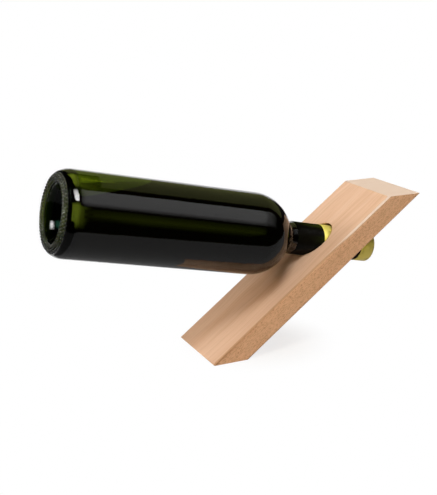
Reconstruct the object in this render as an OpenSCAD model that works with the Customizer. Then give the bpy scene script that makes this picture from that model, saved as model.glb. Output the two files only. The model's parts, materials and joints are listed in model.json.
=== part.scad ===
// Balancing wine bottle holder: a leaning plank with a slanting bore through it,
// and the full bottle that hangs in the bore by its neck and keeps the plank standing.
// The origin is the middle of the foot. The board leans towards +X, the bottle points back over the foot.

/* [Board] */
// Distance that each side of the board stands out past the bottle's body
board_margin = 0.5; // [0:0.5:15]
// Thickness of the board
board_t = 22; // [18:1:28]
// Length of the front face, from the foot to the top
board_l = 224; // [205:1:260]
// Lean of the board above the table, in degrees
board_lean = 37; // [34:0.5:44]
// Rounding of the four long edges
long_edge_r = 3; // [1:0.5:6]
// Easing of the sawn end edges
end_edge_r = 0.6; // [0.3:0.1:1.5]

/* [Bore] */
// Distance from the foot to the middle of the bore, along the board
bore_up = 146.5; // [130:0.5:165]
// Tilt of the bore away from square to the front face, in degrees
bore_tilt = 38; // [30:0.5:42]
// Room between the widest part of the neck and the bore, on the radius
bore_play = 1.65; // [1:0.05:3]
// Gap left at the two rims that the neck bears on
seat_gap = 0.3; // [0.2:0.05:0.6]
// Neck left showing between the shoulder and the board
neck_showing = 15.5; // [6:0.5:20]

/* [Bottle glass] */
// Diameter of the body
body_d = 75; // [70:0.5:82]
// Height of the base and the straight body, up to the shoulder
body_h = 187; // [165:1:200]
// Height of the round shoulder
shoulder_h = 34.5; // [30:0.5:44]
// Hollow rounding between the shoulder and the neck
neck_fillet_r = 8; // [4:0.5:12]
// Diameter of the neck at the shoulder
neck_d = 29.9; // [27:0.1:33]
// Diameter of the neck under the finish ring
neck_top_d = 28.8; // [26.6:0.1:29.2]
// Length of the neck, from the shoulder to the mouth
neck_l = 89.8; // [82:0.2:100]
// Diameter of the finish ring at the mouth
finish_d = 29.6; // [29.4:0.1:32]
// Height of the finish ring
finish_h = 14; // [8:0.5:18]
// Rounding of the mouth
lip_r = 1.5; // [0.5:0.1:3]
// Bore of the mouth, which the cork fills
mouth_d = 18.5; // [17.5:0.1:20]
// Thickness of the glass in the body and the shoulder
glass_wall = 2.6; // [2:0.1:3.5]

/* [Bottle base] */
// Radius of the curve from the body into the base
heel_r = 17; // [14:0.5:22]
// Distance from the side of the body in to the ring that the bottle stands on
ring_inset = 8; // [6:0.5:9]
// Rounding of that ring
ring_round_r = 3.5; // [2.5:0.25:4.5]
// Depth of the punt
punt_depth = 36; // [30:0.5:42]
// Radius of the dome at the top of the punt
punt_dome_r = 14; // [10:0.5:16]
// Thickness of the glass over the punt
punt_wall = 5; // [4:0.25:6]
// Rounding of the groove around the punt, inside the bottle
groove_r = 5; // [4:0.25:6]

/* [Wine and cork] */
// Length of the cork
cork_l = 45; // [35:1:54]
// Depth of the cork below the mouth
cork_recess = 1; // [0:0.25:3]
// Depth of the air under the highest point inside the bottle
air_depth = 14; // [6:0.5:24]
// Gap between the wine and the glass, so that the glass can turn around it
wine_gap = 0.3; // [0.1:0.05:0.5]

/* [Capsule] */
// Distance from the shoulder rounding to the lower edge of the sleeve
sleeve_up = 4; // [0.5:0.5:20]
// Thickness of the sleeve
sleeve_wall = 0.3; // [0.2:0.05:0.5]
// Rounding of the sleeve's upper edge
crown_r = 0.6; // [0.5:0.05:1]
// Width of the sleeve's edge that is turned in over the top disc
turned_edge = 2.5; // [1:0.25:4]
// Thickness of the top disc
disc_t = 0.3; // [0.2:0.05:0.5]
// Distance from the top of the sleeve down to the lower edge of the lower gold band
band_down = 57.5; // [40:0.5:70]
// Width of the lower gold band
band_w = 15; // [4:0.5:20]
// Thickness of the gold bands
band_t = 0.15; // [0.1:0.05:0.3]
// Gap between the layers on the neck
skin_gap = 0.05; // [0.03:0.01:0.1]

/* [Hidden] */
$fn = 96;
// Straight pieces in each round stretch of an outline
arc_steps = 12;

// The glass outline, as radius and height above the base
body_r = body_d / 2;
neck_r = neck_d / 2;
neck_top_r = neck_top_d / 2;
finish_r = finish_d / 2;
mouth_r = mouth_d / 2;
shoulder_drop = body_r - neck_r;
shoulder_r = (pow(shoulder_h, 2) + pow(shoulder_drop, 2)) / (2 * shoulder_drop);
shoulder_centre = [body_r - shoulder_r, body_h];
fillet_rise = sqrt(pow(shoulder_r + neck_fillet_r, 2) - pow(neck_r + neck_fillet_r - shoulder_centre.x, 2));
fillet_centre = [neck_r + neck_fillet_r, body_h + fillet_rise];
shoulder_angle = direction(fillet_centre - shoulder_centre);
neck_low = fillet_centre.y;
mouth_h = neck_low + neck_l;
finish_step = finish_r - neck_top_r;
finish_low = mouth_h - finish_h;

// The base: the standing ring, the heel curve outside it and the punt inside it
ring_centre = [body_r - ring_inset, ring_round_r];
heel_in = ring_centre.x - (body_r - heel_r);
heel_rise = sqrt(pow(heel_r - ring_round_r, 2) - pow(heel_in, 2));
heel_centre = [body_r - heel_r, ring_round_r + heel_rise];
heel_angle = direction(ring_centre - heel_centre);
dome_centre = [0, punt_depth - punt_dome_r];
dome_span = norm(dome_centre - ring_centre);
punt_angle = direction(dome_centre - ring_centre) + acos((ring_round_r + punt_dome_r) / dome_span);
punt_normal = -[cos(punt_angle), sin(punt_angle)];
cork_low = mouth_h - cork_recess - cork_l;

// The groove around the punt, which meets the glass over the punt and the side of the body
dome_seat = dome_centre + (punt_dome_r + punt_wall) * punt_normal;
groove_x = body_r - glass_wall - groove_r;
groove_y = dome_seat.y + (groove_r - (groove_x - dome_seat.x) * punt_normal.x) / punt_normal.y;

// The layers on the neck, as distances out from the glass
sleeve_in = skin_gap;
sleeve_out = sleeve_in + sleeve_wall;
band_in = sleeve_out + skin_gap;
band_out = band_in + band_t;
sleeve_low = neck_low + sleeve_up;
disc_low = mouth_h + skin_gap;
sleeve_top = disc_low + disc_t + skin_gap + sleeve_wall;
band_low = sleeve_top - band_down;

// The bore, and how the bottle lies in it: the neck bears on the lower rim at the
// front of the board and on the upper rim at the back, so its axis crosses the bore's middle
widest_neck = max(neck_r + sleeve_out, neck_side(band_low) + band_out, finish_r + band_out);
bore_r = widest_neck + bore_play;
bore_dip = 90 - board_lean - bore_tilt;
rim_span = board_t / cos(bore_tilt) + 2 * bore_r * tan(bore_tilt);
rim_distance = norm([rim_span, 2 * bore_r]);
bottle_lift = acos(2 * (widest_neck + seat_gap) / rim_distance) - atan2(rim_span, 2 * bore_r);
bottle_dip = bore_dip - bottle_lift;
bore_middle = bore_up * [cos(board_lean), 0, sin(board_lean)];
seat_h = neck_low + neck_showing + rim_span / 2 * cos(bottle_lift) + bore_r * sin(bottle_lift);
base_z = bore_middle.z + seat_h * sin(bottle_dip);
highest_inside = base_z + groove_x * cos(bottle_dip) - groove_y * sin(bottle_dip) + groove_r;
wine_level = highest_inside - air_depth;

// The board between its two level cuts
board_w = body_d + 2 * board_margin;
board_h = board_l * sin(board_lean);
foot_l = board_t / sin(board_lean);
top_shift = board_l * cos(board_lean);
reach = board_l + 2 * body_h;

// Angle of a direction in the plane
function direction(v) = atan2(v.y, v.x);

// Points along part of a circle
function arc(centre, radius, from, to) =
    let (step = (to - from) / arc_steps)
    [for (i = [0 : arc_steps]) centre + radius * [cos(from + i * step), sin(from + i * step)]];

// Points round one corner of a counter-clockwise outline
function corner(before, at, after, radius) =
    let (
        from = direction(at - before) - 90,
        turn = (direction(after - at) - direction(at - before) + 360) % 360,
        middle = from + turn / 2,
        centre = at - radius / cos(turn / 2) * [cos(middle), sin(middle)]
    )
    arc(centre, radius, from, from + turn);

// Outside radius of the bare neck below the finish ring
function neck_side(h) = neck_r + (neck_top_r - neck_r) * (h - neck_low) / (finish_low - neck_low);

// The outside of the neck and the finish ring from one height to another, moved out by a distance
function neck_outline(low, high, out) = [
    [neck_side(low) + out, low],
    [neck_top_r + out, finish_low],
    [finish_r + out, finish_low + finish_step],
    [finish_r + out, high]
];

// The outside of the glass, from the top of the punt to the mouth
function outside() = concat(
    arc(dome_centre, punt_dome_r, 90, punt_angle - 180),
    arc(ring_centre, ring_round_r, punt_angle, heel_angle + 360),
    arc(heel_centre, heel_r, heel_angle, 0),
    arc(shoulder_centre, shoulder_r, 0, shoulder_angle),
    arc(fillet_centre, neck_fillet_r, shoulder_angle + 180, 180),
    neck_outline(neck_low, mouth_h - lip_r, 0),
    arc([finish_r - lip_r, mouth_h - lip_r], lip_r, 0, 90)
);

// The inside of the glass, from the top of the punt to the cork, drawn in by a gap
function inside(gap) = concat(
    arc(dome_centre, punt_dome_r + punt_wall + gap, 90, punt_angle - 180),
    arc([groove_x, groove_y], groove_r - gap, punt_angle, 360),
    arc(shoulder_centre, shoulder_r - glass_wall - gap, 0, shoulder_angle),
    arc(fillet_centre, neck_fillet_r + glass_wall + gap, shoulder_angle + 180, 180),
    [[mouth_r - gap, cork_low - gap]]
);

// Points of a list in the other order
function reversed(points) = [for (i = [len(points) - 1 : -1 : 0]) points[i]];

// Rectangle with round corners, centred
module rounded_rectangle(w, h, r) {
    square([w - 2 * r, h], center = true);
    square([w, h - 2 * r], center = true);
    for (x = [-1, 1], y = [-1, 1])
        translate([x * (w / 2 - r), y * (h / 2 - r)])
            circle(r);
}

// Stands a shape drawn along +Z in the bore, with the bottle's base end over the foot
module in_bottle() {
    translate(bore_middle)
        rotate([0, 90 + bottle_dip, 0])
            translate([0, 0, -seat_h])
                children();
}

// The plank's section, run along its lean
module board_blank() {
    rotate([0, 90 - board_lean, 0])
        linear_extrude(2 * reach, center = true)
            rounded_rectangle(board_t, board_w, long_edge_r);
}

// The plank's side view: level cuts at the foot and the top, with eased edges
module board_side() {
    foot_front = [-foot_l / 2, 0];
    foot_back = [foot_l / 2, 0];
    rise = [top_shift, board_h];
    outline = [foot_front, foot_back, foot_back + rise, foot_front + rise];
    rotate([90, 0, 0])
        linear_extrude(2 * board_w, center = true)
            polygon([
                for (i = [0 : 3])
                    each corner(outline[(i + 3) % 4], outline[i], outline[(i + 1) % 4], end_edge_r)
            ]);
}

// The plank's end view, which eases the ends of the level cuts
module board_end() {
    translate([0, 0, board_h / 2])
        rotate([90, 0, 90])
            linear_extrude(2 * reach, center = true)
                rounded_rectangle(board_w, board_h, end_edge_r);
}

module neck_bore() {
    translate(bore_middle)
        rotate([0, 90 + bore_dip, 0])
            cylinder(r = bore_r, h = 2 * rim_span, center = true);
}

module holder_board() {
    color("burlywood")
        difference() {
            intersection() {
                board_blank();
                board_side();
                board_end();
            }
            neck_bore();
        }
}

module bottle_glass() {
    mouth_wall = [[mouth_r, mouth_h], [mouth_r, cork_low]];
    color([0.05, 0.12, 0.04])
        in_bottle()
            rotate_extrude()
                polygon(concat(outside(), mouth_wall, reversed(inside(0))));
}

module wine() {
    color([0.25, 0.02, 0.05])
        intersection() {
            in_bottle()
                rotate_extrude()
                    polygon(concat(inside(wine_gap), [[0, cork_low - wine_gap]]));
            translate([-reach, -reach, wine_level - 2 * reach])
                cube(2 * reach);
        }
}

module cork() {
    color("peru")
        in_bottle()
            translate([0, 0, cork_low])
                cylinder(r = mouth_r - skin_gap, h = cork_l);
}

module capsule_sleeve() {
    edge_r = finish_r - turned_edge;
    crown_centre = [finish_r + sleeve_out - crown_r, sleeve_top - crown_r];
    outer = concat(neck_outline(sleeve_low, crown_centre.y, sleeve_out), arc(crown_centre, crown_r, 0, 90));
    inner = neck_outline(sleeve_low, sleeve_top - sleeve_wall, sleeve_in);
    turned_in = [[edge_r, sleeve_top], [edge_r, sleeve_top - sleeve_wall]];
    color([0.06, 0.06, 0.06])
        in_bottle()
            rotate_extrude()
                polygon(concat(outer, turned_in, reversed(inner)));
}

module capsule_top_disc() {
    color("silver")
        in_bottle()
            translate([0, 0, disc_low])
                cylinder(r = finish_r, h = disc_t);
}

module lower_gold_band() {
    ends = [band_low, band_low + band_w];
    inner = [for (h = ends) [neck_side(h) + band_in, h]];
    outer = [for (h = ends) [neck_side(h) + band_out, h]];
    color("gold")
        in_bottle()
            rotate_extrude()
                polygon(concat(outer, reversed(inner)));
}

module upper_gold_band() {
    low = finish_low + finish_step;
    color("gold")
        in_bottle()
            translate([0, 0, low])
                difference() {
                    cylinder(r = finish_r + band_out, h = sleeve_top - crown_r - low);
                    translate([0, 0, -finish_h])
                        cylinder(r = finish_r + band_in, h = 3 * finish_h);
                }
}

holder_board();
bottle_glass();
wine();
cork();
capsule_sleeve();
capsule_top_disc();
lower_gold_band();
upper_gold_band();
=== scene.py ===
# Looks of the balancing wine bottle holder: a leaning beech plank that carries a full green bottle by its
# neck. Everything is in metres, in the part's own frame: origin in the middle of the foot, +Z up, and the
# plank leans to +X.
import json
import math

import bmesh
import bpy
from mathutils import Matrix, Vector


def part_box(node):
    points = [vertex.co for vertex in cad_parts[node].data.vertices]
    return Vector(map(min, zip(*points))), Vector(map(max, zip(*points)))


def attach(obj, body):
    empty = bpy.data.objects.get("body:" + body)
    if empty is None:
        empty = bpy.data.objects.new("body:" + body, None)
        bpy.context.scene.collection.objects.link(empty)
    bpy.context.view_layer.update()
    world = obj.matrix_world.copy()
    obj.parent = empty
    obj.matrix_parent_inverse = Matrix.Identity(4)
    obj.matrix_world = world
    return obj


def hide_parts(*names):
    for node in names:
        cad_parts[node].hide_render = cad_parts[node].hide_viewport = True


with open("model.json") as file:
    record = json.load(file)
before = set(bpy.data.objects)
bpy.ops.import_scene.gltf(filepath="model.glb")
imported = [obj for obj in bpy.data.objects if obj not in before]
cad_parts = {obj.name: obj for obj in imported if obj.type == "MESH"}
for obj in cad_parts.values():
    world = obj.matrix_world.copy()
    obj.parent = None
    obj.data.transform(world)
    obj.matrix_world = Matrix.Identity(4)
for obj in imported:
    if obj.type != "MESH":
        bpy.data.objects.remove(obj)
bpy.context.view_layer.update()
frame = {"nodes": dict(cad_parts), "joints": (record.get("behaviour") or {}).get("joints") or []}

# Plank
BOARD_WIDTH = 0.076
BOARD_THICKNESS = 0.022
BOARD_LENGTH = 0.224
BOARD_LEAN = math.radians(37)
LONG_EDGE_ROUND = 0.003
END_EDGE_EASE = 0.0006
BORE_RADIUS = 0.017
BORE_DIP = math.radians(15)
BORE_RIM_EASE = 0.0005
RIM_STEPS = 3
EASE_STEPS = 8
CUT_PAST = 0.00001
SAME_PLACE = 1e-6
ON_BORE = 1e-5
FLAT_WITHIN = math.cos(math.radians(0.5))

# Bottle glass
BODY_R = 0.0375
BODY_HEIGHT = 0.187
SHOULDER_HEIGHT = 0.0345
NECK_FILLET_R = 0.008
NECK_R = 0.01495
NECK_TOP_R = 0.0144
NECK_LENGTH = 0.0898
FINISH_R = 0.0148
FINISH_HEIGHT = 0.014
LIP_R = 0.0015
MOUTH_R = 0.00925
GLASS_WALL = 0.0026
HEEL_R = 0.017
RING_INSET = 0.008
RING_ROUND_R = 0.0035
PUNT_DEPTH = 0.036
PUNT_DOME_R = 0.014
PUNT_WALL = 0.005
GROOVE_R = 0.005

# Knurling on the ring that the bottle stands on
BEADS_ROUND = 60
BEAD_ROWS = 5
BEAD_ROW_WIDTH = 0.0026
BEAD_DEPTH = 0.0016
BEAD_SPACING = 1.15
KNURL_START = -0.003
KNURL_ROUGHNESS = 0.31
STEPS_PER_BEAD = 10
SATIN_FADE = 0.0002

# Cork, capsule and gold bands
CORK_LENGTH = 0.045
CORK_RECESS = 0.001
SLEEVE_UP = 0.004
SLEEVE_WALL = 0.0003
CROWN_R = 0.0006
CROWN_STEPS = 6
TURNED_EDGE = 0.0025
DISC_THICKNESS = 0.0003
DISC_PRESSING = 0.0001
PRESSING_SLOPE = 0.02
BAND_DOWN = 0.0575
BAND_WIDTH = 0.015
BAND_THICKNESS = 0.00015
SKIN_GAP = 0.00005
WINE_WETS = 0.00008

ROUND_STEPS = 200
ON_AXIS = 1e-7
ARC_STEP = math.radians(4)
STRAIGHT_END = 0.03


# Outlines, as points of radius and height above the bottle's base

def polar(angle):
    return Vector((math.cos(angle), math.sin(angle)))


def direction(vector):
    return math.atan2(vector.y, vector.x)


def arc(centre, radius, start, end, steps=None):
    steps = steps or max(3, math.ceil(abs(end - start) / ARC_STEP))
    return [centre + radius * polar(start + (end - start) * i / steps) for i in range(steps + 1)]


def between(start, end):
    """Points just inside both ends of a straight part, so that the bends beside it don't bend its shading."""
    return [start.lerp(end, STRAIGHT_END), start.lerp(end, 1 - STRAIGHT_END)]


shoulder_drop = BODY_R - NECK_R
SHOULDER_R = (SHOULDER_HEIGHT ** 2 + shoulder_drop ** 2) / (2 * shoulder_drop)
SHOULDER_CENTRE = Vector((BODY_R - SHOULDER_R, BODY_HEIGHT))
fillet_in = NECK_R + NECK_FILLET_R - SHOULDER_CENTRE.x
fillet_rise = math.sqrt((SHOULDER_R + NECK_FILLET_R) ** 2 - fillet_in ** 2)
FILLET_CENTRE = Vector((NECK_R + NECK_FILLET_R, BODY_HEIGHT + fillet_rise))
SHOULDER_ANGLE = direction(FILLET_CENTRE - SHOULDER_CENTRE)
NECK_LOW = FILLET_CENTRE.y
MOUTH = NECK_LOW + NECK_LENGTH
FINISH_LOW = MOUTH - FINISH_HEIGHT
FINISH_STEP = FINISH_R - NECK_TOP_R

RING_CENTRE = Vector((BODY_R - RING_INSET, RING_ROUND_R))
heel_in = RING_CENTRE.x - (BODY_R - HEEL_R)
HEEL_CENTRE = Vector((BODY_R - HEEL_R, RING_ROUND_R + math.sqrt((HEEL_R - RING_ROUND_R) ** 2 - heel_in ** 2)))
HEEL_ANGLE = direction(RING_CENTRE - HEEL_CENTRE)
DOME_CENTRE = Vector((0, PUNT_DEPTH - PUNT_DOME_R))
dome_span = (DOME_CENTRE - RING_CENTRE).length
PUNT_ANGLE = direction(DOME_CENTRE - RING_CENTRE) + math.acos((RING_ROUND_R + PUNT_DOME_R) / dome_span)
punt_normal = -polar(PUNT_ANGLE)
dome_seat = DOME_CENTRE + (PUNT_DOME_R + PUNT_WALL) * punt_normal
groove_x = BODY_R - GLASS_WALL - GROOVE_R
groove_y = dome_seat.y + (GROOVE_R - (groove_x - dome_seat.x) * punt_normal.x) / punt_normal.y
GROOVE_CENTRE = Vector((groove_x, groove_y))
CORK_LOW = MOUTH - CORK_RECESS - CORK_LENGTH

SLEEVE_OUT = SKIN_GAP + SLEEVE_WALL
BAND_IN = SLEEVE_OUT + SKIN_GAP
BAND_OUT = BAND_IN + BAND_THICKNESS
DISC_LOW = MOUTH + SKIN_GAP
SLEEVE_TOP = DISC_LOW + DISC_THICKNESS + SKIN_GAP + SLEEVE_WALL
BAND_LOW = SLEEVE_TOP - BAND_DOWN


def neck_side(height):
    return NECK_R + (NECK_TOP_R - NECK_R) * (height - NECK_LOW) / (FINISH_LOW - NECK_LOW)


def finish_side(height):
    """The finish at the mouth is straight, so it has one radius at any height."""
    return FINISH_R


def neck_outline(low, high, out):
    return [
        Vector((neck_side(low) + out, low)),
        Vector((NECK_TOP_R + out, FINISH_LOW)),
        Vector((FINISH_R + out, FINISH_LOW + FINISH_STEP)),
        Vector((FINISH_R + out, high)),
    ]


def inside_outline(gap):
    """The inside of the glass from the top of the punt to the cork, drawn in by a gap."""
    return [
        *arc(DOME_CENTRE, PUNT_DOME_R + PUNT_WALL + gap, math.pi / 2, PUNT_ANGLE - math.pi),
        *arc(GROOVE_CENTRE, GROOVE_R - gap, PUNT_ANGLE, 2 * math.pi),
        *arc(SHOULDER_CENTRE, SHOULDER_R - GLASS_WALL - gap, 0, SHOULDER_ANGLE),
        *arc(FILLET_CENTRE, NECK_FILLET_R + GLASS_WALL + gap, SHOULDER_ANGLE + math.pi, math.pi),
        Vector((MOUTH_R - gap, CORK_LOW - gap)),
    ]


# The bottle's own frame: heights along its axis from the base, with the level wine in it

turn = next(joint for joint in frame["joints"] if joint["name"] == "bottle_turn")
BORE_MIDDLE = Vector(turn["pos_m"])
BOTTLE_AXIS = Vector(turn["axis"]).normalized()
SEAT = -min((v.co - BORE_MIDDLE).dot(BOTTLE_AXIS) for v in frame["nodes"]["bottle_glass"].data.vertices)
BASE_MIDDLE = BORE_MIDDLE - SEAT * BOTTLE_AXIS
BOTTLE_ACROSS = Vector((0, 1, 0))
BOTTLE_FRAME = Matrix.Translation(BASE_MIDDLE) @ Matrix(
    (BOTTLE_ACROSS.cross(BOTTLE_AXIS), BOTTLE_ACROSS, BOTTLE_AXIS)).transposed().to_4x4()
WINE_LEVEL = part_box("wine")[1].z


# Mesh helpers

def new_object(name, mesh):
    made = bpy.data.objects.new(name, mesh)
    bpy.context.scene.collection.objects.link(made)
    return made


def evaluated_mesh(source):
    """The mesh that an object's modifiers give, as a plain mesh."""
    ready = source.evaluated_get(bpy.context.evaluated_depsgraph_get())
    return bpy.data.meshes.new_from_object(ready)


def finish_piece(name, mesh, material, body, node):
    """Makes a finished mesh a piece that rides on a body and stands for a node."""
    mesh.materials.clear()
    mesh.materials.append(material)
    mesh.shade_smooth()
    piece = new_object(name, mesh)
    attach(piece, body)
    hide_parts(node)


def turn_row(shape, point, count):
    """One ring of vertices about the axis, or a single one on it."""
    if point.x < ON_AXIS:
        return [shape.verts.new((0, 0, point.y))]
    turns = [2 * math.pi * k / count for k in range(count)]
    return [shape.verts.new((point.x * math.cos(t), point.x * math.sin(t), point.y)) for t in turns]


def join_rows(shape, low, high):
    """Faces between two rings, of which one may have several times the vertices of the other."""
    count = min(len(low), len(high))
    if count == 1:
        count = max(len(low), len(high))
    for k in range(count):
        sides = []
        for row in (low, high):
            share = len(row) // count
            sides.append([row[i % len(row)] for i in range(k * share, (k + 1) * share + 1)] if share else row)
        shape.faces.new(sides[0] + sides[1][::-1])


def lathe(outline, closed, counts=None):
    """Turns an outline about the bottle's axis. Where it isn't closed, both ends lie on the axis."""
    counts = counts or [ROUND_STEPS] * len(outline)
    shape = bmesh.new()
    rows = [turn_row(shape, point, count) for point, count in zip(outline, counts)]
    for low, high in zip(rows, rows[1:] + rows[:1] if closed else rows[1:]):
        join_rows(shape, low, high)
    return shape


def mesh_from(shape, name):
    mesh = bpy.data.meshes.new(name)
    shape.to_mesh(mesh)
    shape.free()
    return mesh


def bottle_mesh(shape, name):
    mesh = mesh_from(shape, name)
    mesh.transform(BOTTLE_FRAME)
    return mesh


# Node helpers

def node(tree, kind, inputs=None, **settings):
    """A new node with its settings, and its inputs set to a value or linked to a socket."""
    made = tree.nodes.new(kind)
    for name, value in settings.items():
        setattr(made, name, value)
    for name, value in (inputs or {}).items():
        if isinstance(value, bpy.types.NodeSocket):
            tree.links.new(value, made.inputs[name])
        else:
            made.inputs[name].default_value = value
    return made


def math_node(tree, operation, *values):
    return node(tree, "ShaderNodeMath", dict(enumerate(values)), operation=operation).outputs[0]


def vector_math(tree, operation, *values):
    """A vector operation, as the number or the vector that it gives."""
    made = node(tree, "ShaderNodeVectorMath", dict(enumerate(values)), operation=operation)
    gives_number = operation in ("DOT_PRODUCT", "LENGTH", "DISTANCE")
    return made.outputs["Value" if gives_number else "Vector"]


def blank_material(name):
    """A new material and its empty node tree."""
    made = bpy.data.materials.new(name)
    made.use_nodes = True
    made.node_tree.nodes.clear()
    return made, made.node_tree


def principled(name, inputs):
    """A new material with one Principled shader."""
    made, tree = blank_material(name)
    shader = node(tree, "ShaderNodeBsdfPrincipled", inputs)
    node(tree, "ShaderNodeOutputMaterial", {"Surface": shader.outputs[0]})
    return made, tree, shader


def link_inputs(tree, shader, **sockets):
    for name, socket in sockets.items():
        tree.links.new(socket, shader.inputs[name.replace("_", " ")])


def scaled(tree, place, scale):
    return vector_math(tree, "MULTIPLY", place, scale)


def object_place(tree, scale=(1, 1, 1), rotation=(0, 0, 0)):
    """Object coordinates, turned and then scaled."""
    place = node(tree, "ShaderNodeTexCoord").outputs["Object"]
    if any(rotation):
        place = node(tree, "ShaderNodeMapping", {"Vector": place, "Rotation": rotation}).outputs[0]
    return scaled(tree, place, scale)


def noise(tree, place, scale, detail=2.0, roughness=0.5):
    inputs = {"Vector": place, "Scale": scale, "Detail": detail, "Roughness": roughness}
    return node(tree, "ShaderNodeTexNoise", inputs).outputs["Fac"]


def remap(tree, value, low, high, to_low=0.0, to_high=1.0):
    """A soft step from one value to another as the given value goes from low to high."""
    inputs = {"Value": value, "From Min": low, "From Max": high, "To Min": to_low, "To Max": to_high}
    return node(tree, "ShaderNodeMapRange", inputs, interpolation_type="SMOOTHSTEP").outputs[0]


def blend_colours(tree, share, first, second):
    """A mix of two colours. Inputs 6 and 7 and output 2 are the node's colour sockets."""
    return node(tree, "ShaderNodeMix", {0: share, 6: first, 7: second}, data_type="RGBA").outputs[2]


def bump(tree, height, strength, distance):
    inputs = {"Height": height, "Strength": strength, "Distance": distance}
    return node(tree, "ShaderNodeBump", inputs).outputs[0]


def colour(red, green, blue):
    return (red, green, blue, 1)


def handled_surface():
    """Shared by the wood, the capsule and the foil: uneven gloss from handling, and a fine skin for bumps."""
    group = bpy.data.node_groups.new("handled_surface", "ShaderNodeTree")
    starts = {"Patch Scale": 60.0, "Skin Scale": 2500.0, "Gloss Low": 0.3, "Gloss High": 0.5}
    for name, start in starts.items():
        socket = group.interface.new_socket(name, in_out="INPUT", socket_type="NodeSocketFloat")
        socket.default_value = start
    for name in ("Roughness", "Skin"):
        group.interface.new_socket(name, in_out="OUTPUT", socket_type="NodeSocketFloat")
    given = node(group, "NodeGroupInput").outputs
    place = object_place(group)
    patches = noise(group, place, given["Patch Scale"], 3.0)
    roughness = remap(group, patches, 0.3, 0.7, given["Gloss Low"], given["Gloss High"])
    skin = noise(group, place, given["Skin Scale"], 1.0)
    node(group, "NodeGroupOutput", {"Roughness": roughness, "Skin": skin})
    return group


HANDLED = handled_surface()


def handled(tree, patch, skin, low, high):
    """The outputs of the shared surface, with a material's own scales and its two ends of roughness."""
    inputs = {"Patch Scale": patch, "Skin Scale": skin, "Gloss Low": low, "Gloss High": high}
    return node(tree, "ShaderNodeGroup", inputs, node_tree=HANDLED).outputs


# Materials

def beech():
    """Steamed beech: soft streaks along the plank, the short dark flecks of the rays on its narrow faces,
    burnished long edges, and sawn ends painted pale as a painted sheen of the light from above."""
    pale_streak = colour(0.805, 0.55, 0.39)
    dark_streak = colour(0.74, 0.475, 0.315)
    narrow_face = colour(0.8, 0.48, 0.27)
    ring_brown = colour(0.5, 0.28, 0.15)
    fibre_brown = colour(0.42, 0.24, 0.13)
    ray_brown = colour(0.4, 0.18, 0.08)
    burnished = colour(0.5, 0.28, 0.15)
    # Painted sheen: a paler, greyer colour that stands in for the light from above on the sawn top
    painted_sheen_end = colour(0.92, 0.76, 0.63)
    drift_scale = (14, 30, 30)
    drift_reach = 0.004
    streak_scale = (4, 100, 40)
    ring_scale = (3, 420, 380)
    fibre_scale = (45, 1700, 1700)
    ray_scale = (320, 6, 1900)

    made, tree, shader = principled("beech", {"IOR": 1.45, "Specular IOR Level": 0.12})
    along = object_place(tree, rotation=(0, BOARD_LEAN, 0))
    drift = noise(tree, scaled(tree, along, drift_scale), 1.0, 1.0)
    sidestep = remap(tree, drift, 0.0, 1.0, -drift_reach, drift_reach)
    wander = node(tree, "ShaderNodeCombineXYZ", {1: sidestep}).outputs[0]
    bent = vector_math(tree, "ADD", along, wander)
    streaks = noise(tree, scaled(tree, bent, streak_scale), 1.0, 3.0)
    rings = noise(tree, scaled(tree, bent, ring_scale), 1.0, 2.0)
    fibres = noise(tree, scaled(tree, bent, fibre_scale), 1.0, 2.0)
    rays = node(tree, "ShaderNodeTexVoronoi", {"Vector": scaled(tree, bent, ray_scale), "Scale": 1.0})
    ray_spot = remap(tree, rays.outputs["Distance"], 0.12, 0.52, 1.0, 0.0)
    ray_chance = remap(tree, rays.outputs["Color"], 0.1, 0.5)
    ray_share = math_node(tree, "MULTIPLY", ray_spot, ray_chance)

    normal = node(tree, "ShaderNodeTexCoord").outputs["Normal"]
    facing = node(tree, "ShaderNodeSeparateXYZ", {0: normal}).outputs
    sideways = math_node(tree, "ABSOLUTE", facing[1])
    narrow = remap(tree, sideways, 0.1, 0.7)
    leaves_front = remap(tree, sideways, 0.01, 0.2)
    meets_side = remap(tree, sideways, 0.8, 0.99, 1.0, 0.0)
    edge = math_node(tree, "MULTIPLY", leaves_front, meets_side)
    # Faces that point up or down, the sawn top and the foot, which take the painted sheen
    sawn = remap(tree, math_node(tree, "ABSOLUTE", facing[2]), 0.9, 0.98)
    fleck_share = math_node(tree, "MULTIPLY", ray_share, remap(tree, narrow, 0.0, 1.0, 0.0, 0.8))

    wood = blend_colours(tree, remap(tree, streaks, 0.3, 0.7), pale_streak, dark_streak)
    wood = blend_colours(tree, narrow, wood, blend_colours(tree, 0.7, wood, narrow_face))
    wood = blend_colours(tree, remap(tree, rings, 0.45, 0.8, 0.0, 0.2), wood, ring_brown)
    wood = blend_colours(tree, remap(tree, fibres, 0.45, 0.75, 0.0, 0.25), wood, fibre_brown)
    wood = blend_colours(tree, fleck_share, wood, ray_brown)
    wood = blend_colours(tree, remap(tree, edge, 0.0, 1.0, 0.0, 0.75), wood, burnished)
    # Painted sheen of the light from above, laid on the sawn ends
    wood = blend_colours(tree, remap(tree, sawn, 0.0, 1.0, 0.0, 0.7), wood, painted_sheen_end)
    roughness = handled(tree, patch=45.0, skin=3000.0, low=0.48, high=0.62)["Roughness"]
    relief = bump(tree, math_node(tree, "ADD", fibres, fleck_share), strength=0.25, distance=0.00012)
    link_inputs(tree, shader, Base_Color=wood, Roughness=roughness, Normal=relief)
    return made


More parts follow.
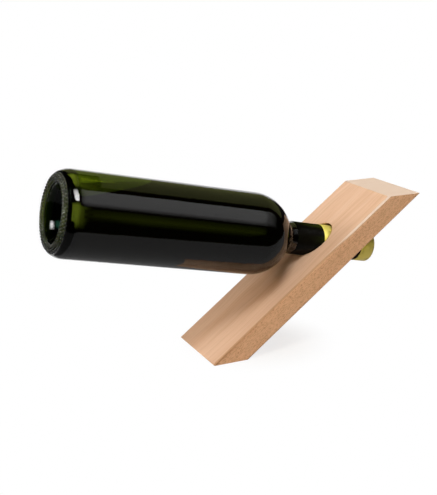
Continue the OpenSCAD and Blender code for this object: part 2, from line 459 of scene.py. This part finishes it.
def green_glass():
    """Dark green bottle glass, clear and tinted by its depth, with a faint moulded wave and a satin knurl."""
    inputs = {"IOR": 1.52, "Transmission Weight": 1.0, "Base Color": colour(1, 1, 1)}
    made, tree, shader = principled("green_glass", inputs)
    wave = noise(tree, object_place(tree, (28, 28, 28)), 1.0, 1.0)
    from_base = vector_math(tree, "SUBTRACT", object_place(tree), BASE_MIDDLE)
    height = vector_math(tree, "DOT_PRODUCT", from_base, BOTTLE_AXIS)
    radius = vector_math(tree, "LENGTH", vector_math(tree, "CROSS_PRODUCT", from_base, BOTTLE_AXIS))
    inner_end = knurl_point(KNURL_START + BEAD_ROW_WIDTH)
    outer_end = knurl_point(KNURL_START + BEAD_ROWS * BEAD_ROW_WIDTH)
    below = remap(tree, height, outer_end.y, outer_end.y + SATIN_FADE, KNURL_ROUGHNESS, 0.0)
    outside = remap(tree, radius, inner_end.x - 1.5 * SATIN_FADE, inner_end.x - 0.5 * SATIN_FADE)
    satin = math_node(tree, "MULTIPLY", below, outside)
    link_inputs(tree, shader, Roughness=satin, Normal=bump(tree, wave, strength=0.05, distance=0.001))
    tint = node(tree, "ShaderNodeVolumeAbsorption", {"Color": colour(0.54, 0.6, 0.08), "Density": 1070.0})
    output = next(n for n in tree.nodes if n.type == "OUTPUT_MATERIAL")
    tree.links.new(tint.outputs[0], output.inputs["Volume"])
    return made


def red_wine():
    """Red wine, too deep to see through. It lies against glass, so its index is the one that glass sees."""
    made, tree, shader = principled("red_wine", {"IOR": 1.13, "Roughness": 0.02})
    depth = noise(tree, object_place(tree, (20, 20, 60)), 1.0, 2.0)
    wine = blend_colours(tree, depth, colour(0.004, 0.0002, 0.0004), colour(0.008, 0.0004, 0.0006))
    link_inputs(tree, shader, Base_Color=wine)
    return made


def bottle_cork():
    """Natural cork with dark pores."""
    made, tree, shader = principled("cork", {"Roughness": 0.8})
    place = object_place(tree)
    pores = node(tree, "ShaderNodeTexVoronoi", {"Vector": place, "Scale": 420.0}).outputs["Distance"]
    grain = noise(tree, place, 180.0, 4.0)
    body = blend_colours(tree, grain, colour(0.58, 0.37, 0.2), colour(0.42, 0.24, 0.11))
    pore_share = remap(tree, pores, 0.12, 0.3, 0.8, 0.0)
    body = blend_colours(tree, pore_share, body, colour(0.12, 0.055, 0.025))
    link_inputs(tree, shader, Base_Color=body, Normal=bump(tree, pores, strength=0.3, distance=0.0003))
    return made


def black_sleeve():
    """Black shrink sleeve with a satin skin."""
    made, tree, shader = principled("black_sleeve", {"IOR": 1.22})
    surface = handled(tree, patch=120.0, skin=4000.0, low=0.16, high=0.24)
    shade = noise(tree, object_place(tree, (90, 90, 90)), 1.0, 2.0)
    black = blend_colours(tree, shade, colour(0.002, 0.0016, 0.0012), colour(0.005, 0.0045, 0.0035))
    skin = bump(tree, surface["Skin"], strength=0.03, distance=0.00005)
    link_inputs(tree, shader, Base_Color=black, Roughness=surface["Roughness"], Normal=skin)
    return made


def top_disc():
    """Lacquered aluminium disc at the mouth."""
    made, tree, shader = principled("top_disc", {"Coat Weight": 0.4, "Coat Roughness": 0.25})
    surface = handled(tree, patch=150.0, skin=5000.0, low=0.32, high=0.45)
    shade = noise(tree, object_place(tree, (120, 120, 120)), 1.0, 2.0)
    black = blend_colours(tree, shade, colour(0.006, 0.006, 0.006), colour(0.014, 0.013, 0.012))
    skin = bump(tree, surface["Skin"], strength=0.08, distance=0.00006)
    link_inputs(tree, shader, Base_Color=black, Roughness=surface["Roughness"], Normal=skin)
    return made


def gold_foil():
    """Pale gold stamping foil, rubbed olive where it creased on the way round the neck."""
    made, tree, shader = principled("gold_foil", {"Metallic": 0.35})
    roughness = handled(tree, patch=300.0, skin=5000.0, low=0.36, high=0.5)["Roughness"]
    creases = noise(tree, object_place(tree, (170, 130, 130)), 1.0, 2.0)
    rubbed = remap(tree, creases, 0.52, 0.74, 0.0, 0.75)
    gold = blend_colours(tree, rubbed, colour(0.84, 0.73, 0.17), colour(0.4, 0.33, 0.06))
    relief = bump(tree, creases, strength=0.2, distance=0.0003)
    link_inputs(tree, shader, Base_Color=gold, Roughness=roughness, Normal=relief)
    return made


# Pieces

def eased(corners, radius):
    """A polygon with its corners rounded by tangent arcs."""
    points = []
    for before, corner, after in zip(corners[-1:] + corners[:-1], corners, corners[1:] + corners[:1]):
        back = (before - corner).normalized()
        on = (after - corner).normalized()
        half = back.angle(on) / 2
        centre = corner + (back + on).normalized() * radius / math.sin(half)
        first = corner + back * radius / math.tan(half) - centre
        last = corner + on * radius / math.tan(half) - centre
        points += [centre + radius * first.slerp(last, k / EASE_STEPS) for k in range(EASE_STEPS + 1)]
    return points


def prism(name, section, along):
    """A section run the same way to both sides."""
    shape = bmesh.new()
    low = [shape.verts.new(point - along) for point in section]
    high = [shape.verts.new(point + along) for point in section]
    shape.faces.new(low)
    shape.faces.new(high)
    for k in range(len(section)):
        shape.faces.new((low[k - 1], low[k], high[k], high[k - 1]))
    bmesh.ops.recalc_face_normals(shape, faces=shape.faces)
    return new_object(name, mesh_from(shape, name))


def plank_stock():
    """The plank's section along its lean, its side view and its end view. The plank is what they share."""
    lean = Vector((math.cos(BOARD_LEAN), 0, math.sin(BOARD_LEAN)))
    across = Vector((0, BOARD_WIDTH / 2, 0))
    through = Vector((-lean.z, 0, lean.x)) * BOARD_THICKNESS / 2
    rise = BOARD_LENGTH * lean
    height = Vector((0, 0, rise.z))
    foot = Vector((BOARD_THICKNESS / lean.z / 2 + CUT_PAST, 0, 0))
    wide = across + Vector((0, CUT_PAST, 0))
    section = [-across - through, across - through, across + through, through - across]
    side = [-foot, foot, foot + rise, rise - foot]
    end = [-wide, wide, wide + height, height - wide]
    return (
        prism("plank_section", [rise / 2 + point for point in eased(section, LONG_EDGE_ROUND)], rise),
        prism("plank_side", eased(side, END_EDGE_EASE), 2 * across),
        prism("plank_end", eased(end, END_EDGE_EASE), Vector((BOARD_LENGTH, 0, 0))),
    )


def bore_cutter(axis):
    shape = bmesh.new()
    place = Matrix.Translation(BORE_MIDDLE) @ axis.to_track_quat("Z", "Y").to_matrix().to_4x4()
    bmesh.ops.create_cone(shape, cap_ends=True, segments=ROUND_STEPS, radius1=BORE_RADIUS,
                          radius2=BORE_RADIUS, depth=BOARD_LENGTH / 2, matrix=place)
    return new_object("bore_cutter", mesh_from(shape, "bore_cutter"))


def ease_bore_rims(mesh, axis):
    """Takes the sharp edge off both rims of the bore."""
    shape = bmesh.new()
    shape.from_mesh(mesh)
    bmesh.ops.remove_doubles(shape, verts=shape.verts, dist=SAME_PLACE)

    def on_bore(vertex):
        across = vertex.co - BORE_MIDDLE
        return abs((across - across.dot(axis) * axis).length - BORE_RADIUS) < ON_BORE

    wall = {face for face in shape.faces if all(on_bore(vertex) for vertex in face.verts)}
    rims = [edge for edge in shape.edges if sum(face in wall for face in edge.link_faces) == 1]
    bmesh.ops.bevel(shape, geom=rims, offset=BORE_RIM_EASE, offset_type="OFFSET", segments=RIM_STEPS,
                    profile=0.5, affect="EDGES", clamp_overlap=True)
    shape.to_mesh(mesh)
    shape.free()


def even_shading(mesh):
    """Lets each flat face of the plank keep its normal up to its border, so that only edges shade round."""
    through = Vector((-math.sin(BOARD_LEAN), 0, math.cos(BOARD_LEAN)))
    ways = (through, Vector((0, 1, 0)), Vector((0, 0, 1)))
    flat = [any(abs(face.normal.dot(way)) > FLAT_WITHIN for way in ways) for face in mesh.polygons]
    beside = {}
    for face in mesh.polygons:
        if flat[face.index]:
            for corner in face.vertices:
                beside.setdefault(corner, []).append(face.normal.copy())
    normals = []
    for face in mesh.polygons:
        for corner in face.vertices:
            near = [face.normal] if flat[face.index] else beside.get(corner, [mesh.vertices[corner].normal])
            normals.append(max(near, key=face.normal.dot).copy())
    mesh.normals_split_custom_set(normals)


def beech_plank(material):
    """The plank, cut to its views, bored on the slant, and eased at the rims of the bore."""
    axis = Vector((math.cos(BORE_DIP), 0, -math.sin(BORE_DIP)))
    stock, *views = plank_stock()
    cutters = [(view, "INTERSECT") for view in views] + [(bore_cutter(axis), "DIFFERENCE")]
    for cutter, operation in cutters:
        cut = stock.modifiers.new(cutter.name, "BOOLEAN")
        cut.object = cutter
        cut.operation = operation
        cut.solver = "EXACT"
    mesh = evaluated_mesh(stock)
    ease_bore_rims(mesh, axis)
    mesh.shade_smooth()
    even_shading(mesh)
    for helper in [stock] + [cutter for cutter, operation in cutters]:
        bpy.data.objects.remove(helper)
    finish_piece("beech_plank", mesh, material, "holder", "holder_board")


def knurl_point(length):
    """The point of the glass outline at a length along it from where the ring leaves the punt, or at a length
    below 0 up the side of the punt."""
    if length < 0:
        return RING_CENTRE + RING_ROUND_R * polar(PUNT_ANGLE) + length * polar(PUNT_ANGLE + math.pi / 2)
    ring_length = RING_ROUND_R * (HEEL_ANGLE + 2 * math.pi - PUNT_ANGLE)
    if length < ring_length:
        return RING_CENTRE + RING_ROUND_R * polar(PUNT_ANGLE + length / RING_ROUND_R)
    return HEEL_CENTRE + HEEL_R * polar(HEEL_ANGLE + (length - ring_length) / HEEL_R)


def glass_outline():
    """The glass outline from the top of the punt round the outside and back along the inside, with the
    place of each point in the rows of the knurl, or None off the knurl."""
    rows = [k / STEPS_PER_BEAD for k in range(BEAD_ROWS * STEPS_PER_BEAD + 1)]
    knurl = [knurl_point(KNURL_START + row * BEAD_ROW_WIDTH) for row in rows]
    knurl_end = direction(knurl[-1] - HEEL_CENTRE)
    dome = arc(DOME_CENTRE, PUNT_DOME_R, math.pi / 2, PUNT_ANGLE - math.pi)
    heel = arc(HEEL_CENTRE, HEEL_R, knurl_end, 0)[1:]
    shoulder = arc(SHOULDER_CENTRE, SHOULDER_R, 0, SHOULDER_ANGLE)
    before = [*dome, *between(dome[-1], knurl[0])]
    after = [
        *heel,
        *between(heel[-1], shoulder[0]),
        *shoulder,
        *arc(FILLET_CENTRE, NECK_FILLET_R, SHOULDER_ANGLE + math.pi, math.pi)[1:],
        *neck_outline(NECK_LOW, MOUTH - LIP_R, 0)[1:],
        *arc(Vector((FINISH_R - LIP_R, MOUTH - LIP_R)), LIP_R, 0, math.pi / 2)[1:],
        Vector((MOUTH_R, MOUTH)),
        Vector((MOUTH_R, CORK_LOW)),
        *inside_outline(0)[-2::-1],
    ]
    return before + knurl + after, [None] * len(before) + rows + [None] * len(after)


def knurl_tree():
    """Geometry nodes that press rows of beads into the base: the surface sinks between the beads."""
    tree = bpy.data.node_groups.new("knurl", "GeometryNodeTree")
    tree.interface.new_socket("Geometry", in_out="INPUT", socket_type="NodeSocketGeometry")
    for name in ("Beads Round", "Rows", "Bead Depth", "Spacing"):
        tree.interface.new_socket(name, in_out="INPUT", socket_type="NodeSocketFloat")
    tree.interface.new_socket("Material", in_out="INPUT", socket_type="NodeSocketMaterial")
    tree.interface.new_socket("Geometry", in_out="OUTPUT", socket_type="NodeSocketGeometry")
    given = node(tree, "NodeGroupInput").outputs

    def work(operation, *values):
        return math_node(tree, operation, *values)

    position = node(tree, "GeometryNodeInputPosition").outputs[0]
    place = node(tree, "ShaderNodeSeparateXYZ", {0: position}).outputs
    stored = node(tree, "GeometryNodeInputNamedAttribute", {"Name": "knurl_row"}, data_type="FLOAT")
    row = stored.outputs["Attribute"]
    knurled = work("MULTIPLY", work("GREATER_THAN", row, 0.0), work("LESS_THAN", row, given["Rows"]))
    stagger = work("MULTIPLY", work("MODULO", work("FLOOR", row), 2.0), 0.5)
    turn_share = work("DIVIDE", work("ADD", work("ARCTAN2", place[1], place[0]), math.pi), 2 * math.pi)
    bead = work("ADD", work("MULTIPLY", turn_share, given["Beads Round"]), stagger)
    sideways = work("MULTIPLY", work("SUBTRACT", work("FRACT", bead), 0.5), 2.0)
    lengthways = work("MULTIPLY", work("SUBTRACT", work("FRACT", row), 0.5), 2.0)
    away = work("ADD", work("MULTIPLY", sideways, sideways), work("MULTIPLY", lengthways, lengthways))
    dome = work("SQRT", work("MAXIMUM", work("SUBTRACT", 1.0, work("MULTIPLY", away, given["Spacing"])), 0.0))
    sink = work("MULTIPLY", work("SUBTRACT", dome, 1.0), given["Bead Depth"])
    normal = node(tree, "GeometryNodeInputNormal").outputs[0]
    offset = node(tree, "ShaderNodeVectorMath", {0: normal, "Scale": sink}, operation="SCALE").outputs[0]
    moved = node(tree, "GeometryNodeSetPosition",
                 {"Geometry": given["Geometry"], "Selection": knurled, "Offset": offset}).outputs[0]
    real = node(tree, "GeometryNodeRealizeInstances", {"Geometry": moved}).outputs[0]
    painted = node(tree, "GeometryNodeSetMaterial", {"Geometry": real, "Material": given["Material"]})
    node(tree, "NodeGroupOutput", {"Geometry": painted.outputs[0]})
    return tree


def green_bottle(material):
    """The glass, turned about its axis, with the knurl pressed into its base."""
    points, rows = glass_outline()
    counts = [ROUND_STEPS if row is None else BEADS_ROUND * STEPS_PER_BEAD for row in rows]
    plain = new_object("plain_bottle", mesh_from(lathe(points, closed=False, counts=counts), "plain_bottle"))
    places = []
    for point, count, row in zip(points, counts, rows):
        places += [-1.0 if row is None else row] * (1 if point.x < ON_AXIS else count)
    plain.data.attributes.new("knurl_row", "FLOAT", "POINT").data.foreach_set("value", places)
    tree = knurl_tree()
    knurl = plain.modifiers.new("knurl", "NODES")
    knurl.node_group = tree
    values = {
        "Beads Round": float(BEADS_ROUND),
        "Rows": float(BEAD_ROWS),
        "Bead Depth": BEAD_DEPTH,
        "Spacing": BEAD_SPACING,
        "Material": material,
    }
    for socket in tree.interface.items_tree:
        if socket.in_out == "INPUT" and socket.name in values:
            knurl[socket.identifier] = values[socket.name]
    mesh = evaluated_mesh(plain)
    plain.modifiers.remove(knurl)
    bpy.data.objects.remove(plain)
    mesh.attributes.remove(mesh.attributes["knurl_row"])
    mesh.transform(BOTTLE_FRAME)
    finish_piece("green_bottle", mesh, material, "bottle", "bottle_glass")


def wine_fill(material):
    """The wine wets the glass and lies level, with the air left at the raised base."""
    outline = inside_outline(-WINE_WETS)
    shape = lathe(outline + [Vector((0, outline[-1].y))], closed=False)
    bmesh.ops.transform(shape, matrix=BOTTLE_FRAME, verts=shape.verts)
    whole = shape.verts[:] + shape.edges[:] + shape.faces[:]
    cut = bmesh.ops.bisect_plane(shape, geom=whole, plane_co=(0, 0, WINE_LEVEL), plane_no=(0, 0, 1),
                                 clear_outer=True)
    shore = [part for part in cut["geom_cut"] if isinstance(part, bmesh.types.BMEdge)]
    bmesh.ops.contextual_create(shape, geom=shore)
    bmesh.ops.recalc_face_normals(shape, faces=shape.faces)
    for edge in shore:
        edge.smooth = False
    finish_piece("wine_fill", mesh_from(shape, "wine_fill"), material, "wine", "wine")


def neck_sleeve(material):
    """The sleeve on the neck and the finish, with its top edge turned in over the disc."""
    crown = Vector((FINISH_R + SLEEVE_OUT - CROWN_R, SLEEVE_TOP - CROWN_R))
    edge_r = FINISH_R - TURNED_EDGE
    low = NECK_LOW + SLEEVE_UP
    outline = [
        *neck_outline(low, crown.y, SLEEVE_OUT)[:-1],
        *arc(crown, CROWN_R, 0, math.pi / 2, CROWN_STEPS),
        Vector((edge_r, SLEEVE_TOP)),
        Vector((edge_r, SLEEVE_TOP - SLEEVE_WALL)),
        *neck_outline(low, SLEEVE_TOP - SLEEVE_WALL, SKIN_GAP)[::-1],
    ]
    mesh = bottle_mesh(lathe(outline, closed=True), "neck_sleeve")
    finish_piece("neck_sleeve", mesh, material, "bottle", "capsule_sleeve")


def pressed_ring(outer, inner):
    """The corners of a ring, as shares of the disc's radius, with 1 where it is pressed in."""
    return [(outer, 0), (outer - PRESSING_SLOPE, 1), (inner + PRESSING_SLOPE, 1), (inner, 0)]


def mouth_disc(material):
    """The disc under the turned-in edge, with two shallow pressed rings."""
    top = DISC_LOW + DISC_THICKNESS
    pressing = [(0.9, 0), *pressed_ring(0.68, 0.58), *pressed_ring(0.36, 0.28)]
    outline = [Vector((0, DISC_LOW)), Vector((FINISH_R, DISC_LOW)), Vector((FINISH_R, top))]
    outline += [Vector((share * FINISH_R, top - sunk * DISC_PRESSING)) for share, sunk in pressing]
    outline.append(Vector((0, top)))
    mesh = bottle_mesh(lathe(outline, closed=False), "mouth_disc")
    finish_piece("mouth_disc", mesh, material, "bottle", "capsule_top_disc")


def gold_band(name, low, high, side, material, node_name):
    """A thin foil ring with softened edges, between two heights on the sleeve."""
    soft = BAND_THICKNESS / 3
    outline = [
        Vector((side(low) + BAND_IN, low)),
        Vector((side(low) + BAND_OUT - soft, low)),
        Vector((side(low) + BAND_OUT, low + soft)),
        Vector((side(high) + BAND_OUT, high - soft)),
        Vector((side(high) + BAND_OUT - soft, high)),
        Vector((side(high) + BAND_IN, high)),
    ]
    mesh = bottle_mesh(lathe(outline, closed=True), name)
    finish_piece(name, mesh, material, "bottle", node_name)


def build_pieces():
    beech_plank(beech())
    green_bottle(green_glass())
    wine_fill(red_wine())
    neck_sleeve(black_sleeve())
    mouth_disc(top_disc())
    gold = gold_foil()
    gold_band("neck_gold_band", BAND_LOW, BAND_LOW + BAND_WIDTH, neck_side, gold, "lower_gold_band")
    gold_band("mouth_gold_band", FINISH_LOW + FINISH_STEP, SLEEVE_TOP - CROWN_R, finish_side, gold,
              "upper_gold_band")
    frame["nodes"]["cork"].material_slots[0].material = bottle_cork()


build_pieces()

# Stage: a white floor, a white surround, and the lamps and cards of a small studio

OBJECT_MIDDLE = Vector((0.02, 0, 0.1))
FLOOR_HALF = 6.0
SHADOW_WHITE = 0.78
SHADOW_MIDDLE = (0.045, 0, 0)
SHADOW_CORE = 0.02
SHADOW_END = 0.08
WORLD_FILL = 0.05
WHITE = colour(1, 1, 1)
WARM_FILL = colour(1.0, 0.55, 0.25)
WARM_PAPER = colour(0.86, 0.79, 0.7)
WARM_GREEN = colour(0.95, 1.0, 0.4)
OLIVE = colour(0.75, 1.0, 0.08)
TEAL = colour(0.2, 0.8, 0.5)
DOME_RADIUS = 2.0
DOME_COLUMNS = 25
DOME_ROWS = 9
CARD_REACH = 1.2
CARD_LIFT = 0.0012
PUNT_CARD_TOP = -0.618
PUNT_CARD_SLOPE = -0.00758
PUNT_CARD_BEND = 0.0000386
TABLE_LIFT = 0.0004
TABLE_FLAG_LIFT = 0.0008
TABLE_HALF = 1.5
TABLE_FRONT = -0.24
TABLE_BACK = 0.12
TABLE_LEFT_END = -0.17
FRONT_HALF = 1.9


def toward(azimuth, elevation):
    """Direction from the object. Azimuth 0 is the -Y side and 90 is the +X side, in degrees."""
    round_z = math.radians(azimuth)
    rise = math.radians(elevation)
    return Vector((math.sin(round_z) * math.cos(rise), -math.cos(round_z) * math.cos(rise), math.sin(rise)))


def seen_background(tree):
    """1 for rays that should see the white background: from the camera, by gloss or through glass."""
    path = node(tree, "ShaderNodeLightPath").outputs
    seen = math_node(tree, "MAXIMUM", path["Is Camera Ray"], path["Is Glossy Ray"])
    return math_node(tree, "MAXIMUM", seen, path["Is Transmission Ray"])


def white_world():
    world = bpy.data.worlds.new("white_surround")
    bpy.context.scene.world = world
    world.use_nodes = True
    tree = world.node_tree
    tree.nodes.clear()
    fill = node(tree, "ShaderNodeBackground", {"Color": WARM_FILL, "Strength": WORLD_FILL}).outputs[0]
    white = node(tree, "ShaderNodeBackground", {"Color": WHITE, "Strength": 1.0}).outputs[0]
    both = node(tree, "ShaderNodeMixShader", {0: seen_background(tree), 1: fill, 2: white})
    node(tree, "ShaderNodeOutputWorld", {"Surface": both.outputs[0]})


def white_floor():
    """White paper for the rays that see the background. Round the foot, part of its shadow is let through."""
    shape = bmesh.new()
    bmesh.ops.create_grid(shape, x_segments=1, y_segments=1, size=FLOOR_HALF)
    floor = new_object("floor", mesh_from(shape, "floor"))
    made, tree = blank_material("white_floor")
    paper = node(tree, "ShaderNodeBsdfDiffuse", {"Color": WARM_PAPER}).outputs[0]
    white = node(tree, "ShaderNodeEmission", {"Color": WHITE, "Strength": 1.0}).outputs[0]
    away = vector_math(tree, "DISTANCE", object_place(tree), SHADOW_MIDDLE)
    lift = remap(tree, away, SHADOW_CORE, SHADOW_END, SHADOW_WHITE, 1.0)
    share = math_node(tree, "MULTIPLY", lift, seen_background(tree))
    both = node(tree, "ShaderNodeMixShader", {0: share, 1: paper, 2: white})
    node(tree, "ShaderNodeOutputMaterial", {"Surface": both.outputs[0]})
    floor.data.materials.append(made)


def card(name, points, columns, shade, strength, glow=None):
    """A studio card that only shows in reflections: a grid of points, row by row, with a glow at each."""
    shape = bmesh.new()
    corners = [shape.verts.new(point) for point in points]
    for start in range(0, len(corners) - columns, columns):
        for k in range(start, start + columns - 1):
            shape.faces.new((corners[k], corners[k + 1], corners[k + columns + 1], corners[k + columns]))
    panel = new_object(name, mesh_from(shape, name))
    levels = panel.data.attributes.new("glow", "FLOAT", "POINT")
    levels.data.foreach_set("value", glow or [1.0] * len(points))
    made, tree = blank_material(name)
    level = node(tree, "ShaderNodeAttribute", attribute_name="glow").outputs["Fac"]
    power = math_node(tree, "MULTIPLY", level, strength)
    light = node(tree, "ShaderNodeEmission", {"Color": shade, "Strength": power})
    node(tree, "ShaderNodeOutputMaterial", {"Surface": light.outputs[0]})
    panel.data.materials.append(made)
    panel.visible_camera = False
    panel.visible_diffuse = False
    panel.visible_transmission = False
    panel.visible_volume_scatter = False
    panel.visible_shadow = False


def dome_card(name, azimuths, elevations, shade, strength):
    """A curved card over a range of directions from the object."""
    points = []
    for j in range(DOME_ROWS):
        elevation = elevations[0] + (elevations[1] - elevations[0]) * j / (DOME_ROWS - 1)
        for k in range(DOME_COLUMNS):
            azimuth = azimuths[0] + (azimuths[1] - azimuths[0]) * k / (DOME_COLUMNS - 1)
            points.append(OBJECT_MIDDLE + DOME_RADIUS * toward(azimuth, elevation))
    card(name, points, DOME_COLUMNS, shade, strength)


def floor_card(name, low, high, height, shade, strength):
    """A flat card just over the floor, between two corners."""
    points = [(x, y, height) for y in (low[1], high[1]) for x in (low[0], high[0])]
    card(name, points, 2, shade, strength)


def bottle_card(name, angles, ends, shade, strength):
    """A card along the bottle, well off its axis. Its rows are at angles from straight up towards the
    camera's side, each with a length from the base and a glow. Each of its columns adds its own length and
    takes its own share of the glow. What would be below the floor lies on it, in the same direction from
    the base."""
    points = []
    glow = []
    for angle, start, row_glow in angles:
        across = Vector((-math.cos(math.radians(angle)), -math.sin(math.radians(angle)), 0))
        for length, column_glow in ends:
            point = BOTTLE_FRAME @ (CARD_REACH * across + Vector((0, 0, start + length)))
            if point.z < CARD_LIFT:
                point = BASE_MIDDLE.lerp(point, (BASE_MIDDLE.z - CARD_LIFT) / (BASE_MIDDLE.z - point.z))
            points.append(point)
            glow.append(row_glow * column_glow)
    card(name, points, len(ends), shade, strength, glow)


def lamp(name, azimuth, elevation, distance, size, radiance, shade=(1, 1, 1)):
    """A square softbox that faces the object and shows in no reflection. Its power follows from its radiance
    and its area."""
    light = bpy.data.lights.new(name, "AREA")
    light.shape = "SQUARE"
    light.size = size
    light.color = shade
    light.energy = math.pi * size ** 2 * radiance
    made = new_object(name, light)
    made.location = OBJECT_MIDDLE + distance * toward(azimuth, elevation)
    made.rotation_euler = toward(azimuth, elevation).to_track_quat("Z", "Y").to_euler()
    made.visible_camera = False
    made.visible_glossy = False


def flags_and_tables():
    """Dark cards in front and grey ones on the table, for the plain blacks and greys of the bottle."""
    dome_card("front_flag", (-180, 92), (-8, 90), WHITE, strength=0.004)
    dome_card("right_flag", (92, 135), (-8, 16), WHITE, strength=0.02)
    dome_card("ceiling_card", (92, 180), (16, 90), WARM_GREEN, strength=0.25)
    corner = (-TABLE_HALF, TABLE_FRONT)
    left_end = (TABLE_LEFT_END, TABLE_BACK)
    front_corner = (-FRONT_HALF, -FRONT_HALF)
    front_end = (FRONT_HALF, TABLE_FRONT)
    floor_card("table_card", corner, (TABLE_HALF, TABLE_BACK), TABLE_LIFT, WHITE, strength=0.27)
    floor_card("table_left_flag", corner, left_end, TABLE_FLAG_LIFT, WHITE, strength=0.09)
    floor_card("table_front_flag", front_corner, front_end, TABLE_LIFT, WHITE, strength=0.004)


def body_cards():
    """The long highlight of the bottle's body, and the faint green one below it."""
    strip_angles = ((12, 0, 1.0), (44, 0, 0.95), (57, 0, 0.0))
    strip_ends = ((0.34, 0.0), (0.4, 1.0), (0.85, 1.0), (0.89, 0.5), (1.1, 0.3), (1.6, 0.0))
    bottle_card("long_softbox", strip_angles, strip_ends, WHITE, strength=1.0)
    side_angles = ((60, 0, 0.3), (76, 0, 1.0), (92, 0, 0.0))
    side_ends = ((0.4, 0.5), (0.55, 1.0), (0.85, 0.8), (0.9, 0.0))
    bottle_card("side_reflector", side_angles, side_ends, OLIVE, strength=0.25)


def punt_length(angle):
    """Length from the base at which a card shows in the side of the punt, at an angle round the bottle."""
    return PUNT_CARD_TOP + PUNT_CARD_SLOPE * angle + PUNT_CARD_BEND * angle ** 2


def base_cards():
    """The highlights on the heel and in the punt, and the green glow of the thick glass round them."""
    base_angles = ((12, -0.15, 0.0), (18, -0.15, 0.5), (32, -0.06, 1.0), (42, -0.05, 1.0), (46, -0.05, 0.0))
    base_ends = ((-0.26, 0.0), (-0.18, 1.0), (0.16, 1.0), (0.22, 0.0))
    bottle_card("base_softbox", base_angles, base_ends, WHITE, strength=16)
    punt_glow = ((42, 0.0), (36, 0.6), (28, 1.0), (20, 1.0), (12, 0.8), (4, 0.4), (-4, 0.0))
    punt_angles = [(angle, punt_length(angle), glow) for angle, glow in punt_glow]
    punt_ends = ((-0.009, 0.0), (-0.004, 1.0), (0.0, 1.0), (0.006, 0.0))
    bottle_card("punt_softbox", punt_angles, punt_ends, WHITE, strength=14)
    punt_tint_ends = ((0.007, 0.0), (0.012, 1.0), (0.024, 0.6), (0.036, 0.0))
    bottle_card("punt_reflector", punt_angles, punt_tint_ends, TEAL, strength=1.2)
    heel_glow = ((0.0, 1.0), (0.2, 0.75), (0.38, 0.35), (0.44, 0.0))
    heel_angles = ((46, 0, 0.0), (56, 0, 1.0), (70, 0, 1.0), (84, 0, 0.9), (97, 0, 0.7))
    heel_ends = ((-0.75, 0.0), (-0.6, 1.0), *heel_glow)
    bottle_card("heel_reflector", heel_angles, heel_ends, OLIVE, strength=2.0)
    low_angles = ((97, 0, 0.7), (104, 0, 0.4), (112, 0, 0.0))
    low_ends = ((-0.25, 0.0), (-0.15, 1.0), *heel_glow)
    bottle_card("heel_low_reflector", low_angles, low_ends, OLIVE, strength=2.0)
    top_angles = ((-45, 0, 0.0), (-32, 0, 1.0), (-18, 0, 1.0), (-4, 0, 1.0), (10, 0, 0.0))
    top_ends = ((-0.2, 0.0), (-0.1, 1.0), (0.15, 0.8), (0.36, 0.3), (0.46, 0.0))
    bottle_card("heel_top_reflector", top_angles, top_ends, OLIVE, strength=2.0)


def build_stage():
    white_world()
    white_floor()
    # Azimuth, elevation, distance, size, radiance and shade of each lamp
    lamp("top_lamp", -25, 65, 1.4, 0.4, 21.5, (0.94, 1.0, 1.06))
    lamp("left_window", -97, 26, 1.5, 0.55, 5.6, (0.85, 1.0, 1.15))
    lamp("left_lamp", -112, 20, 1.5, 0.5, 6.2, (1.0, 0.88, 0.75))
    lamp("front_softbox", -50, 30, 1.5, 1.0, 2.1, (1.0, 0.77, 0.52))
    lamp("back_lamp", 150, 60, 1.4, 0.4, 6.5, (1.0, 0.9, 0.78))
    lamp("right_softbox", 70, 35, 1.4, 0.5, 1.6)
    flags_and_tables()
    body_cards()
    base_cards()


build_stage()

# Camera at the photograph's viewing angle, for a frame of 437 by 495 pixels

FRAME_WIDE = 437
FRAME_HIGH = 495
FOCAL_PIXELS = 923.5
LENS_AXIS_PIXEL = (215.8, 249.4)
CAMERA_PLACE = Vector((-0.3385, -0.7146, 0.3306))
CAMERA_AZIMUTH = -25.5
CAMERA_ELEVATION = 16.6
SENSOR = 36.0


def place_camera():
    data = bpy.data.cameras.new("camera")
    data.sensor_width = SENSOR
    data.lens = FOCAL_PIXELS / FRAME_HIGH * SENSOR
    data.shift_x = (FRAME_WIDE / 2 - LENS_AXIS_PIXEL[0]) / FRAME_HIGH
    data.shift_y = (LENS_AXIS_PIXEL[1] - FRAME_HIGH / 2) / FRAME_HIGH
    camera = new_object("camera", data)
    camera.location = CAMERA_PLACE
    camera.rotation_euler = toward(CAMERA_AZIMUTH, CAMERA_ELEVATION).to_track_quat("Z", "Y").to_euler()
    bpy.context.scene.camera = camera


place_camera()
bpy.context.scene.view_settings.view_transform = "Standard"
